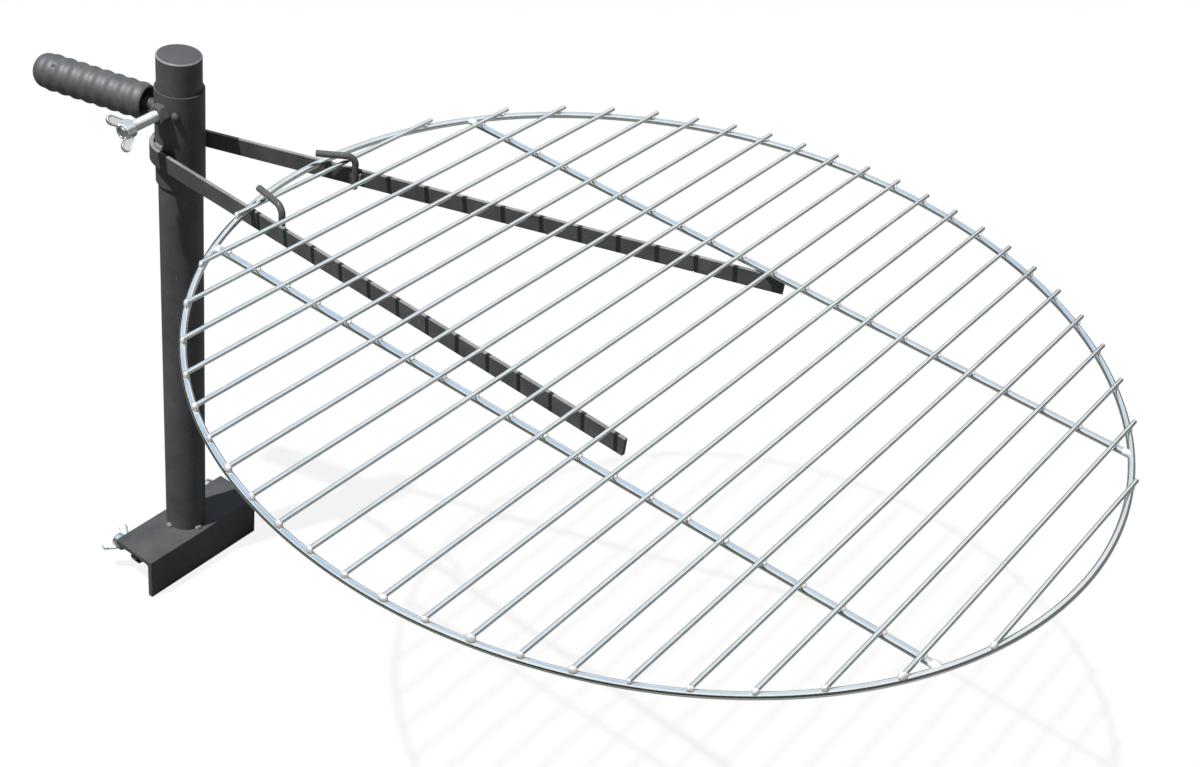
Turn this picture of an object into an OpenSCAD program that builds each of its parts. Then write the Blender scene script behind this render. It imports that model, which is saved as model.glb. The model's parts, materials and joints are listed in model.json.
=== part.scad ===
// Swing-away grill grate that clamps on the wall of a fire pit.
// The origin is on the post's axis, on the underside of the clamp's top flange,
// where the clamp rests on the rim of the fire pit. +Z is up, the grate lies towards +X.

/* [Clamp] */
// Width of the flange that lies on the rim
flange_w = 41; // [36:1:60]
// Height of the flange that hangs inside the wall
flange_h = 38; // [24:1:60]
// Thickness of both flanges
flange_t = 4.5; // [3:0.5:6]
// Length of the clamp along the rim
clamp_len = 117; // [90:1:200]
// Radius inside the corner between the flanges
flange_fillet = 3; // [1:0.5:5]
// Distance from the post's axis to the back edge of the flange
post_back = 19.3; // [18:0.1:24]
// Distance from each end of the clamp to its wing screw
clamp_screw_inset = 9.5; // [9:0.5:25]
// Free space between a clamp screw's tip and the hanging flange
jaw_gap = 6; // [5:0.5:8]
// Distance from the hanging flange to the clamp nuts
nut_stand_off = 16; // [10:0.5:20]

/* [Post] */
// Outside diameter of the post
post_d = 31.8; // [25:0.1:32]
// Wall of the post
post_wall = 2; // [1.2:0.1:3]
// Length of the post with its cap
post_len = 422; // [300:1:700]
// Thickness of the cap's rim
cap_t = 1.6; // [1:0.1:3]
// Depth of the cap's plug inside the post
cap_plug = 12; // [6:1:20]
// Size of the tack welds round the post's foot
post_bead = 2.8; // [1.5:0.1:3]

/* [Sleeve] */
// Wall of the sliding sleeve
sleeve_wall = 1.3; // [1:0.1:3]
// Length of the sleeve
sleeve_len = 73.5; // [50:0.5:140]
// Height of the sleeve's top above the arms' top edge
sleeve_above = 42; // [34:0.5:80]
// Height of the arms' top edge above the rim of the fire pit
arm_height = 360; // [160:1:370]

/* [Arms] */
// Height of the arms' flat bar
bar_h = 12.7; // [8:0.1:25]
// Thickness of the arms' flat bar
bar_t = 3.2; // [2:0.1:6]
// Angle between each arm and the middle line between them
arm_spread = 12.5; // [9:0.5:16]
// Space between the sleeve and each arm beside it
arm_gap = 2.4; // [1.5:0.1:5]
// Length of the left arm from beside the post's axis
left_arm_len = 438; // [300:1:560]
// Length of the right arm from beside the post's axis
right_arm_len = 425; // [300:1:560]
// Angle of the arms' middle line in the rest position
rest_swing = 9.8; // [0:0.1:12]

/* [Hooks] */
// Diameter of the hooks' wire
hook_d = 4.8; // [3:0.1:6]
// Distance of the left hook along its arm
left_hook_at = 124; // [123:0.5:126]
// Distance of the right hook along its arm
right_hook_at = 122; // [110:0.5:123]
// Length of a hook's leg from the middle of its stem
hook_leg = 28; // [24:0.5:32]
// Radius of the bend in the middle of a hook's wire
hook_bend = 6.5; // [5:0.5:8]
// Play between the hooks' legs and the wires below them
hook_play = 1.2; // [1.2:0.1:3]
// Turn of the left leg towards the middle of the arms
left_leg_turn = 18; // [0:1:25]
// Turn of the right leg towards the middle of the arms
right_leg_turn = 9; // [0:1:20]

/* [Grate] */
// Outside diameter of the grate
grate_d = 610; // [570:1:650]
// Diameter of the wire of the ring and its cross bars
ring_wire = 4.8; // [4:0.1:6]
// Diameter of the rods' wire
rod_wire = 3.2; // [2:0.1:4]
// Distance from the outermost rods to the outside of the grate
rod_margin = 17.9; // [17.9:0.1:23.4]
// Distance between the two cross bars
cross_bar_span = 260; // [160:5:360]
// Length of rod past the ring at the left ends
rod_over = 5; // [0:0.5:10]
// Length of rod past the middle of the ring's wire at the right ends
rod_under = 1.6; // [0:0.1:4]
// Distance from the post's axis to the back edge of the grate
grate_back = 84.2; // [83:0.1:87]
// Position of the grate's middle to the left of the post
grate_y = 49.5; // [40:0.5:60]

/* [Wing screws] */
// Diameter of the screws
screw_d = 8; // [6:0.5:10]
// Width across the flats of the nuts
nut_flats = 13; // [11:0.5:17]
// Thickness of the nuts
nut_t = 6.5; // [5:0.5:9]
// Length of a wing screw
screw_len = 40; // [38:0.5:50]
// Direction of the lock screw, measured from the arms' middle line
lock_turn = -96; // [-120:1:-80]
// Height of the lock screw above the arms' top edge
lock_z = 28.5; // [14:0.5:32]
// Length of a wing's hub along the screw
hub_len = 9; // [6:0.5:12]
// Distance from the screw's axis to the tip of a wing
wing_reach = 13.5; // [12:0.5:22]
// Distance that the wings lean back past the hub
wing_lean = 6.5; // [3:0.5:10]
// Thickness of the wings
wing_t = 2.8; // [1.5:0.1:4]

/* [Handle] */
// Diameter of the rod that carries the grip
handle_d = 8; // [6:0.5:12]
// Depth of the grip's wide mouth
mouth_depth = 18; // [4:0.5:30]
// Wall of the grip round its mouth
mouth_wall = 2.2; // [1.5:0.1:4]
// Direction of the handle, measured from the arms' middle line
handle_turn = 186.5; // [170:0.5:195]
// Height of the handle above the arms' top edge
handle_z = 22; // [14:0.5:26]
// Largest diameter of the grip
grip_d = 26.6; // [20:0.2:34]
// Length of the grip
grip_len = 88; // [60:1:130]
// Space between the sleeve and the grip
grip_off = 8; // [4:0.5:20]
// Number of swells along the grip
grip_swells = 9; // [5:1:14]
// Depth of the hollows between the swells
grip_wave = 0.9; // [0.2:0.1:2]

/* [Fits] */
// Space between the sleeve and the post all round
slide_gap = 0.35; // [0.3:0.05:0.6]
// Space between pieces that rest on each other and move apart
rest_gap = 0.25; // [0.2:0.05:0.4]
// Space round a screw in its nut or wings, and round the cap's plug
turn_gap = 0.06; // [0.03:0.01:0.1]
// Space between pieces that are welded or pressed together
joint_gap = 0.02; // [0.01:0.01:0.05]

/* [Hidden] */
ROD_COUNT = 23;
ROD_NAMES = ["rod_01", "rod_02", "rod_03", "rod_04", "rod_05", "rod_06", "rod_07", "rod_08",
    "rod_09", "rod_10", "rod_11", "rod_12", "rod_13", "rod_14", "rod_15", "rod_16",
    "rod_17", "rod_18", "rod_19", "rod_20", "rod_21", "rod_22", "rod_23"];

paint = "#303133";
zinc = "#c9ced4";
rubber = "#26272a";
bright = "#d5dbe2";

facets = 96;
fine = 48;
far = 1000;
past = 1;

post_r = post_d / 2;
post_z = flange_t;
post_top = post_z + post_len;
tube_top = post_top - cap_t - joint_gap;
edge_r = 1;

// The flange that hangs inside the wall of the fire pit
front_x = flange_w - post_back;
jaw_x = front_x - flange_t;
clamp_screw_y = clamp_len / 2 - clamp_screw_inset;
clamp_screw_z = -nut_flats / 2 - joint_gap;
clamp_nut_x = jaw_x - nut_stand_off;

sleeve_in = post_r + slide_gap;
sleeve_r = sleeve_in + sleeve_wall;

// The arms are one bar bent round the back of the sleeve
arm_off = sleeve_r + arm_gap;
bend_x = (arm_gap - joint_gap) / (1 - sin(arm_spread));
bend_r = sleeve_r + joint_gap + bend_x;
bend_steps = 48;
bead_lap = 0.6;
arm_bead = arm_gap + bead_lap;
bead_span = 26;

// Heights of the grate's wires above the arms' top edge
ring_z = rest_gap + ring_wire / 2;
rod_z = ring_z + ring_wire / 2 + joint_gap + rod_wire / 2;
leg_z = rod_z + rod_wire / 2 + hook_play + hook_d / 2;
ring_r = grate_d / 2 - ring_wire / 2;
grate_x = grate_back + grate_d / 2;
rod_pitch = (grate_d / 2 - rod_margin) / ((ROD_COUNT - 1) / 2);

screw_r = screw_d / 2;
hub_wall = 2.4;
hub_r = screw_r + hub_wall;
hub_taper = 0.8;
clamp_wing_turn = 28;
lock_wing_turn = -55;
lock_tip = post_r + rest_gap;
handle_r = handle_d / 2;
grip_start = sleeve_r + grip_off;
grip_r = grip_d / 2;
grip_pitch = grip_len / grip_swells;
grip_end_r = 9;
grip_end_wall = 7;
grip_bore = grip_len - grip_end_wall;
grip_steps = 10;

// Pieces shared by several sub-parts

// Places a child at the height of the arms' top edge, turned with the arms
module on_arms(turn = 0) {
    translate([0, 0, arm_height]) rotate([0, 0, rest_swing + turn]) children();
}

// Mirrors a child to the side that is asked for
module flip_y(side) {
    mirror([0, side < 0 ? 1 : 0, 0]) children();
}

// Lays a child's Z axis along X
module along_x() {
    rotate([0, 90, 0]) children();
}

// Hexagon nut along X with its inner face at x = 0
module hex_nut() {
    corner = nut_flats / 2 / cos(30);
    bevel_r = corner + 0.1;
    bevel = (bevel_r - nut_flats / 2) * tan(30);
    along_x() difference() {
        intersection() {
            rotate([0, 0, 30]) cylinder(r = corner, h = nut_t, $fn = 6);
            union() {
                cylinder(r1 = nut_flats / 2, r2 = bevel_r, h = bevel, $fn = fine);
                translate([0, 0, bevel]) cylinder(r = bevel_r, h = nut_t - 2 * bevel, $fn = fine);
                translate([0, 0, nut_t - bevel])
                    cylinder(r1 = bevel_r, r2 = nut_flats / 2, h = bevel, $fn = fine);
            }
        }
        translate([0, 0, -past]) cylinder(r = screw_r + turn_gap, h = nut_t + 2 * past, $fn = fine);
    }
}

// Screw along X with its tip at x = 0
module screw_shank() {
    tip = screw_r / 4;
    along_x() union() {
        cylinder(r1 = screw_r - tip, r2 = screw_r, h = tip, $fn = fine);
        translate([0, 0, tip]) cylinder(r = screw_r, h = screw_len - tip, $fn = fine);
    }
}

// Flat outline round two circles
module lobe(a, ra, b, rb) {
    d = norm(b - a);
    base = atan2(b[1] - a[1], b[0] - a[0]);
    lean = acos((ra - rb) / d);
    polygon([
        a + ra * [cos(base + lean), sin(base + lean)],
        b + rb * [cos(base + lean), sin(base + lean)],
        b + rb * [cos(base - lean), sin(base - lean)],
        a + ra * [cos(base - lean), sin(base - lean)]]);
    translate(a) circle(r = ra, $fn = fine);
    translate(b) circle(r = rb, $fn = fine);
}

// Wings and their hub on the end of a screw, turned about the screw
module wing_head(turn) {
    tip_r = 3.6;
    root_r = 3.2;
    root_in = 1;
    root_up = 1.2;
    root = [hub_len - root_r - root_in, hub_r - root_r + root_up];
    tip = [hub_len + wing_lean - tip_r, wing_reach - tip_r];
    translate([screw_len - hub_len, 0, 0]) rotate([turn, 0, 0]) difference() {
        union() {
            along_x() cylinder(r1 = hub_r, r2 = hub_r - hub_taper, h = hub_len, $fn = fine);
            for (side = [-1, 1])
                flip_y(side) linear_extrude(wing_t, center = true) lobe(root, root_r, tip, tip_r);
        }
        translate([-past, 0, 0]) along_x()
            cylinder(r = screw_r + turn_gap, h = hub_len + 2 * past, $fn = fine);
        translate([hub_len, 0, 0]) along_x() cylinder(r = hub_r, h = far, $fn = fine);
    }
}

// Places a child on the axis of the lock screw, its tip against the post
module on_lock(at = 0) {
    on_arms(lock_turn) translate([lock_tip + at, 0, lock_z]) children();
}

// Places a child on the axis of a clamp screw, its tip in the jaw
module on_clamp_screw(side) {
    translate([jaw_x - jaw_gap, side * clamp_screw_y, clamp_screw_z]) rotate([0, 0, 180]) children();
}

// Quarter-round bead round a vertical tube
module ring_bead(tube_r, size, span) {
    rotate([0, 0, -span / 2]) rotate_extrude(angle = span, $fn = facets)
        translate([tube_r + joint_gap, 0]) intersection() {
            circle(r = size, $fn = fine);
            square(size);
        }
}

// Clamp that stands on the rim

module clamp_angle() {
    color(paint) rotate([90, 0, 0]) linear_extrude(clamp_len, center = true) union() {
        translate([-post_back, 0]) square([flange_w - edge_r, flange_t]);
        translate([jaw_x, -flange_h + flange_t]) square([flange_t, flange_h - edge_r]);
        translate([front_x - edge_r, flange_t - edge_r]) circle(r = edge_r, $fn = fine);
        translate([jaw_x, 0]) difference() {
            translate([-flange_fillet, -flange_fillet]) square(flange_fillet + edge_r);
            translate([-flange_fillet, -flange_fillet]) circle(r = flange_fillet, $fn = fine);
        }
    }
}

module clamp_nut(side) {
    color(paint) translate([clamp_nut_x - nut_t, side * clamp_screw_y, clamp_screw_z]) hex_nut();
}

module clamp_screw(side) {
    color(bright) on_clamp_screw(side) screw_shank();
}

module clamp_wing(side) {
    color(bright) on_clamp_screw(side) wing_head(side * clamp_wing_turn);
}

// Post with its cap

module post_tube() {
    color(paint) difference() {
        translate([0, 0, post_z]) cylinder(r = post_r, h = tube_top - post_z, $fn = facets);
        translate([0, 0, post_z - past]) cylinder(r = post_r - post_wall, h = post_len, $fn = facets);
    }
}

module post_cap() {
    round_r = cap_t / 2;
    plug_r = post_r - post_wall - turn_gap;
    plug_wall = 1.5;
    color(paint) rotate_extrude($fn = facets) union() {
        translate([0, post_top - cap_t]) square([post_r - round_r, cap_t]);
        translate([0, post_top - cap_t]) square([post_r, cap_t - round_r]);
        translate([post_r - round_r, post_top - round_r]) circle(r = round_r, $fn = fine);
        translate([plug_r - plug_wall, post_top - cap_t - cap_plug])
            square([plug_wall, cap_plug + cap_t / 2]);
    }
}

module post_welds() {
    first_bead = -7;
    color(paint) for (i = [0:3])
        translate([0, 0, post_z + joint_gap]) rotate([0, 0, first_bead + 90 * i])
            ring_bead(post_r, post_bead, bead_span);
}

// Sleeve and what is welded to it

module sleeve() {
    color(paint) difference() {
        translate([0, 0, arm_height + sleeve_above - sleeve_len])
            cylinder(r = sleeve_r, h = sleeve_len, $fn = facets);
        translate([0, 0, arm_height + sleeve_above - sleeve_len - past])
            cylinder(r = sleeve_in, h = sleeve_len + 2 * past, $fn = facets);
        on_lock(-past) along_x() cylinder(r = screw_r + rest_gap, h = nut_t, $fn = fine);
    }
}

// Points round the back of the bend, from one arm to the other
function bend_points(r, side) =
    [for (i = [0:bend_steps]) let (a = 180 - side * (90 - arm_spread) * (1 - 2 * i / bend_steps))
        [bend_x + r * cos(a), r * sin(a)]];

// Corner at the end of an arm, off to the side of the line through the post's axis
function arm_corner(side, len, off) =
    [len * cos(arm_spread) - off * sin(arm_spread), side * (len * sin(arm_spread) + off * cos(arm_spread))];

module arm_bar() {
    color(paint) on_arms() translate([0, 0, -bar_h]) linear_extrude(bar_h) polygon(concat(
        [arm_corner(1, left_arm_len, arm_off), arm_corner(1, left_arm_len, arm_off + bar_t)],
        bend_points(bend_r + bar_t, 1),
        [arm_corner(-1, right_arm_len, arm_off + bar_t), arm_corner(-1, right_arm_len, arm_off)],
        bend_points(bend_r, -1)));
}

// Places a child at a hook's stem, with +X along the hook's leg
module at_hook(side, at, leg_turn) {
    on_arms(side * arm_spread)
        translate([at, side * (arm_off - hook_d / 2 - joint_gap), 0])
            rotate([0, 0, 180 + side * leg_turn]) children();
}

module hook(side, at, leg_turn) {
    foot = 1;
    color(paint) at_hook(side, at, leg_turn) union() {
        translate([0, 0, -bar_h - foot])
            cylinder(d = hook_d, h = bar_h + foot + leg_z - hook_bend, $fn = fine);
        translate([hook_bend, 0, leg_z - hook_bend]) rotate([90, 0, 0]) rotate([0, 0, 90])
            rotate_extrude(angle = 90, $fn = facets) translate([hook_bend, 0]) circle(d = hook_d, $fn = fine);
        translate([hook_bend, 0, leg_z]) along_x() cylinder(d = hook_d, h = hook_leg - hook_bend, $fn = fine);
    }
}

module left_hook() {
    hook(1, left_hook_at, left_leg_turn);
}

module right_hook() {
    hook(-1, right_hook_at, right_leg_turn);
}

// Beads in the corners between a hook's stem and its arm
module hook_welds() {
    bead_r = 1.3;
    bead_len = bar_h * 0.6;
    step = sqrt(pow(hook_d / 2 + bead_r + joint_gap, 2) - pow(hook_d / 2 - bead_r, 2));
    color(paint) for (spot = [[1, left_hook_at], [-1, right_hook_at]], way = [-1, 1])
        on_arms(spot[0] * arm_spread)
            translate([spot[1] + way * step, spot[0] * (arm_off - bead_r - joint_gap), -bar_h / 2])
                cylinder(r = bead_r, h = bead_len, center = true, $fn = fine);
}

// Beads on the bar's top edge that hold it to the sleeve
module arm_welds() {
    beside = 73;
    color(paint) for (way = [-1, 1])
        on_arms(180 + way * beside) translate([0, 0, joint_gap]) ring_bead(sleeve_r, arm_bead, bead_span);
}

module lock_nut() {
    color(paint) on_lock(sleeve_r - lock_tip + joint_gap) hex_nut();
}

// Drops of weld on both sides of the lock nut
module lock_welds() {
    drop_r = 2.6;
    aside = (nut_flats / 2 / cos(30) + drop_r) / sleeve_r * 180 / PI;
    color(paint) difference() {
        for (way = [-1, 1])
            on_arms(lock_turn + way * aside) translate([sleeve_r, 0, lock_z]) sphere(r = drop_r, $fn = fine);
        cylinder(r = sleeve_r + joint_gap, h = far, $fn = facets);
    }
}

// Rod that carries the grip, its end cut to the sleeve
module handle_rod() {
    color(paint) difference() {
        on_arms(handle_turn) translate([0, 0, handle_z]) along_x()
            cylinder(r = handle_r, h = grip_start + grip_bore, $fn = fine);
        cylinder(r = sleeve_r + joint_gap, h = far, $fn = facets);
    }
}

// Radius of the grip at a distance from its open end
function grip_radius(x) = grip_r - grip_wave * (1 + cos(360 * x / grip_pitch)) / 2;

module handle_grip() {
    straight = grip_len - grip_end_r;
    steps = grip_swells * grip_steps;
    end_r = grip_radius(straight);
    wavy = [for (i = [0:steps]) let (x = straight * i / steps) [grip_radius(x), x]];
    dome_step = 9;
    dome = [for (a = [dome_step:dome_step:90 - dome_step])
        [end_r - grip_end_r + grip_end_r * cos(a), straight + grip_end_r * sin(a)]];
    color(rubber) on_arms(handle_turn) translate([grip_start, 0, handle_z]) along_x() difference() {
        rotate_extrude($fn = facets)
            polygon(concat([[0, 0]], wavy, dome, [[end_r - grip_end_r, grip_len], [0, grip_len]]));
        translate([0, 0, -past])
            cylinder(r = handle_r + joint_gap, h = grip_bore + past + joint_gap, $fn = fine);
        translate([0, 0, -past])
            cylinder(r = grip_r - grip_wave - mouth_wall, h = mouth_depth + past, $fn = fine);
    }
}

module lock_screw() {
    color(bright) on_lock() screw_shank();
}

module lock_wing() {
    color(bright) on_lock() wing_head(lock_wing_turn);
}

// Grate

// Places a child in the grate's middle at a height above the arms' top edge
module on_grate(z) {
    translate([grate_x, grate_y, arm_height + z]) children();
}

module grate_ring() {
    color(zinc) on_grate(ring_z) rotate_extrude($fn = 2 * facets) translate([ring_r, 0])
        circle(d = ring_wire, $fn = fine);
}

// Wire across the ring, its ends cut to lie along the ring
module cross_bar(side) {
    y = cross_bar_span / 2;
    reach = ring_r - ring_wire / 2 - joint_gap;
    lean = asin(y / reach);
    color(zinc) on_grate(ring_z) flip_y(side) difference() {
        translate([-ring_r, y, 0]) along_x() cylinder(d = ring_wire, h = 2 * ring_r, $fn = fine);
        for (end = [0, 1])
            mirror([end, 0, 0]) rotate([0, 0, lean]) translate([reach, -ring_r / 2, -ring_wire])
                cube([ring_r, ring_r, 2 * ring_wire]);
    }
}

module rod(i) {
    x = (i - (ROD_COUNT - 1) / 2) * rod_pitch;
    half = sqrt(ring_r * ring_r - x * x);
    color(zinc) on_grate(rod_z) translate([x, -half - rod_under, 0]) rotate([-90, 0, 0])
        cylinder(d = rod_wire, h = 2 * half + rod_under + rod_over + ring_wire / 2, $fn = fine);
}

clamp_angle();
post_tube();
post_cap();
post_welds();
clamp_nut(-1);  // right_clamp_nut
clamp_nut(1);  // left_clamp_nut
clamp_screw(-1);  // right_clamp_screw
clamp_screw(1);  // left_clamp_screw
clamp_wing(-1);  // right_clamp_wing
clamp_wing(1);  // left_clamp_wing
sleeve();
arm_bar();
left_hook();
right_hook();
arm_welds();
hook_welds();
lock_nut();
lock_welds();
handle_rod();
handle_grip();
lock_screw();
lock_wing();
grate_ring();
cross_bar(1);  // left_cross_bar
cross_bar(-1);  // right_cross_bar
for (i = [0:ROD_COUNT - 1])
    rod(i);
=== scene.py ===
import json
import math

import bmesh
import bpy
from mathutils import Matrix, Vector


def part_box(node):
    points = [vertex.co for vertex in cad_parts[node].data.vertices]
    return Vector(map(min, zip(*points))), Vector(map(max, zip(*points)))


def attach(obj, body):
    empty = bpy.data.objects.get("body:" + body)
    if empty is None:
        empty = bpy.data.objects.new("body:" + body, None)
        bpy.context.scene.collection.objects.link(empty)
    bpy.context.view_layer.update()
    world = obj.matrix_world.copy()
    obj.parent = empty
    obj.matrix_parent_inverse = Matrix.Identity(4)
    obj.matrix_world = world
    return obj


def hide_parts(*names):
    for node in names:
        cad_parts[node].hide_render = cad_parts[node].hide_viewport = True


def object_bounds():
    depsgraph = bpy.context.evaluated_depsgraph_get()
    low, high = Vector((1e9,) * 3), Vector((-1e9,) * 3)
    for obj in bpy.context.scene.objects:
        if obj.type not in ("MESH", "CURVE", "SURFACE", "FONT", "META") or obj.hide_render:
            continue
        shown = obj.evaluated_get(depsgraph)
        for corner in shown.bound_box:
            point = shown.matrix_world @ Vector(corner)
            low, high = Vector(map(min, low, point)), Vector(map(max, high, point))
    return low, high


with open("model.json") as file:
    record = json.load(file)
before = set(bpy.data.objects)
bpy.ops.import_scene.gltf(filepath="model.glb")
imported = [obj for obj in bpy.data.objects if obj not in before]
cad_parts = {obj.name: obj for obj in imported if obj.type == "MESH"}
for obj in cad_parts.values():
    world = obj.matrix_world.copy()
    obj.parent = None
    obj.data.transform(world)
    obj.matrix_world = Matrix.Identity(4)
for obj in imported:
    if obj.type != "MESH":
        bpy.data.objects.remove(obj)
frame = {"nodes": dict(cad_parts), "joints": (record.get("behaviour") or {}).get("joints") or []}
nodes = frame["nodes"]
joints = {joint["name"]: joint for joint in frame["joints"]}
cadLow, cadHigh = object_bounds()
mm = 0.001
tiny = 0.001 * mm  # points closer than this are one point
up = Vector((0, 0, 1))
print("frame loaded:", len(nodes), "nodes")


# Places and sizes
def halfWidth(nodeName, axis):
    low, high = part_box(nodeName)
    return (high[axis] - low[axis]) / 2


def middleOf(points):
    return sum(points, Vector()) / len(points)


# Angles spaced evenly round a circle
def turnsRound(steps):
    return [2 * math.pi * i / steps for i in range(steps)]


# Moves the origin to a place and turns the axes to x, y and z
def axesAt(place, x, y, z):
    return Matrix.Translation(place) @ Matrix((x, y, z)).transposed().to_4x4()


# Camera, where the photograph was taken from
cameraSettings = {
    "position": (0.8434, -0.7885, 1.0241),
    "forward": (-0.3767, 0.6686, -0.6411),
    "up": (-0.4692, 0.4590, 0.7544),
    "lens": 53.93,
    "sensorWidth": 36,
    "shiftX": -0.0108,
    "shiftY": 0.1,
}


def makeCamera(settings):
    data = bpy.data.cameras.new("camera")
    data.sensor_fit = "HORIZONTAL"
    data.sensor_width = settings["sensorWidth"]
    data.lens = settings["lens"]
    data.shift_x = settings["shiftX"]
    data.shift_y = settings["shiftY"]
    back = -Vector(settings["forward"]).normalized()
    right = Vector(settings["up"]).cross(back).normalized()
    camera = bpy.data.objects.new("camera", data)
    camera.matrix_world = axesAt(settings["position"], right, back.cross(right), back)
    bpy.context.scene.collection.objects.link(camera)
    bpy.context.scene.camera = camera


makeCamera(cameraSettings)
bpy.context.scene.view_settings.view_transform = "Standard"


# Node helpers
def addNode(tree, kind, inputs=None, **settings):
    made = tree.nodes.new(kind)
    for name, value in settings.items():
        setattr(made, name, value)
    for name, value in (inputs or {}).items():
        socket = made.inputs[name]
        if isinstance(value, bpy.types.NodeSocket):
            tree.links.new(value, socket)
        else:
            socket.default_value = value
    return made


def nodeOutput(tree, kind, inputs=None, output=0, **settings):
    return addNode(tree, kind, inputs, **settings).outputs[output]


def mathNode(tree, operation, first, second=0.0, third=0.0):
    return nodeOutput(tree, "ShaderNodeMath", {0: first, 1: second, 2: third}, operation=operation)


def vectorMath(tree, operation, first, second):
    other = "Scale" if operation == "SCALE" else 1
    output = "Value" if operation == "DOT_PRODUCT" else "Vector"
    return nodeOutput(tree, "ShaderNodeVectorMath", {0: first, other: second}, output,
                      operation=operation)


def noiseOutput(tree, place, scale, detail, roughness=0.5):
    return nodeOutput(tree, "ShaderNodeTexNoise", {
        "Vector": place, "Scale": scale, "Detail": detail, "Roughness": roughness}, "Fac")


# Maps a value to low and high, by default from the range that most of a noise lies in
def spread(tree, value, low, high, fromLow=0.3, fromHigh=0.7, **settings):
    return nodeOutput(tree, "ShaderNodeMapRange", {
        "Value": value, "From Min": fromLow, "From Max": fromHigh, "To Min": low, "To Max": high,
    }, **settings)


def mixColor(tree, amount, first, second):
    mix = addNode(tree, "ShaderNodeMix", data_type="RGBA")
    for socket, value in ((mix.inputs[0], amount), (mix.inputs[6], first), (mix.inputs[7], second)):
        if isinstance(value, bpy.types.NodeSocket):
            tree.links.new(value, socket)
        else:
            socket.default_value = (*value, 1) if isinstance(value, tuple) else value
    return mix.outputs[2]


def startMaterial(name, settings):
    material = bpy.data.materials.new(name)
    material.use_nodes = True
    tree = material.node_tree
    shader = tree.nodes["Principled BSDF"]
    shader.inputs["Metallic"].default_value = settings["metallic"]
    shader.inputs["Specular IOR Level"].default_value = settings["shine"]
    place = nodeOutput(tree, "ShaderNodeTexCoord", output="Object")
    return material, tree, shader, place


def cloudyColor(tree, cloud, settings):
    return mixColor(tree, spread(tree, cloud, 0, 1), settings["dark"], settings["light"])


# Links the colour, a roughness that follows one pattern and a relief that follows another
def finishMaterial(tree, shader, settings, color, pattern, relief):
    tree.links.new(color, shader.inputs["Base Color"])
    tree.links.new(spread(tree, pattern, *settings["roughness"]), shader.inputs["Roughness"])
    normal = nodeOutput(tree, "ShaderNodeBump", {
        "Height": relief, "Distance": settings["reliefDepth"], "Strength": 1.0})
    tree.links.new(normal, shader.inputs["Normal"])


# Black powder coat: fine orange peel, cloudy tone, a few specks of dust.
# Here and below a pattern is the scale and detail of a noise, and its roughness where a third is given
coatSettings = {
    "metallic": 0,
    "shine": 0.25,
    "cloud": (38, 5, 0.6),
    "peel": (900, 2),
    "speck": (420, 1),
    "dustShare": (0, 0.7),
    "dustEdge": (0.73, 0.78),
}
paintSettings = {
    **coatSettings,
    "dark": (0.067, 0.069, 0.073),
    "light": (0.112, 0.115, 0.120),
    "dust": (0.20, 0.20, 0.20),
    "roughness": (0.40, 0.56),
    "reliefDepth": 0.06 * mm,
}
# The arms stand over the fire, which leaves their coat greyer and more matt
sootSettings = {
    **coatSettings,
    "dark": (0.067, 0.070, 0.070),
    "light": (0.113, 0.117, 0.117),
    "dust": (0.24, 0.23, 0.22),
    "roughness": (0.46, 0.62),
    "peel": (700, 2),
    "reliefDepth": 0.08 * mm,
}
# The hooks and the lock nut are worn to a paler grey
wornSettings = {
    **coatSettings,
    "dark": (0.082, 0.084, 0.084),
    "light": (0.140, 0.143, 0.143),
    "dust": (0.30, 0.30, 0.29),
    "roughness": (0.22, 0.34),
    "peel": (700, 2),
    "reliefDepth": 0.06 * mm,
}
# Coat on welds is thicker and shines; its paler colour is a painted highlight
drippedHighlightSettings = {
    **coatSettings,
    "dark": (0.15, 0.152, 0.155),
    "light": (0.27, 0.27, 0.27),
    "dust": (0.36, 0.36, 0.36),
    "roughness": (0.10, 0.20),
    "reliefDepth": 0.03 * mm,
}
# Edges where the coat is rubbed thin, and painted highlight: this paler coat also stands in for the light
# caught by edges, the cap's rim and the arms' tops
rubbedAndHighlightSettings = {
    **coatSettings,
    "dark": (0.21, 0.212, 0.215),
    "light": (0.37, 0.37, 0.37),
    "dust": (0.40, 0.40, 0.39),
    "roughness": (0.26, 0.40),
    "reliefDepth": 0.04 * mm,
}


def makePaint(name, settings):
    material, tree, shader, place = startMaterial(name, settings)
    cloud = noiseOutput(tree, place, *settings["cloud"])
    peel = noiseOutput(tree, place, *settings["peel"])
    speck = noiseOutput(tree, place, *settings["speck"])
    dusty = spread(tree, speck, *settings["dustShare"], *settings["dustEdge"])
    color = mixColor(tree, dusty, cloudyColor(tree, cloud, settings), settings["dust"])
    finishMaterial(tree, shader, settings, color, cloud, peel)
    return material


# Zinc: bright plate with fine lines from the drawing
plateSettings = {
    "metallic": 1,
    "shine": 0.5,
    "cloud": (55, 4, 0.6),
    "lines": (1800, 2),
    "reliefDepth": 0.02 * mm,
}
wireSettings = {
    **plateSettings,
    "dark": (0.79, 0.815, 0.82),
    "light": (0.93, 0.945, 0.945),
    "roughness": (0.08, 0.20),
}
screwSettings = {
    **plateSettings,
    "dark": (0.66, 0.69, 0.68),
    "light": (0.84, 0.87, 0.85),
    "roughness": (0.24, 0.40),
}
weldSettings = {
    **plateSettings,
    "metallic": 0.3,
    "dark": (0.78, 0.79, 0.80),
    "light": (0.95, 0.95, 0.94),
    "roughness": (0.20, 0.38),
    "reliefDepth": 0.05 * mm,
}


def makeZinc(name, settings, stretch=(1, 1, 1)):
    material, tree, shader, place = startMaterial(name, settings)
    drawn = nodeOutput(tree, "ShaderNodeMapping", {"Vector": place, "Scale": stretch})
    cloud = noiseOutput(tree, place, *settings["cloud"])
    lines = noiseOutput(tree, drawn, *settings["lines"])
    finishMaterial(tree, shader, settings, cloudyColor(tree, cloud, settings), lines, lines)
    return material


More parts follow.
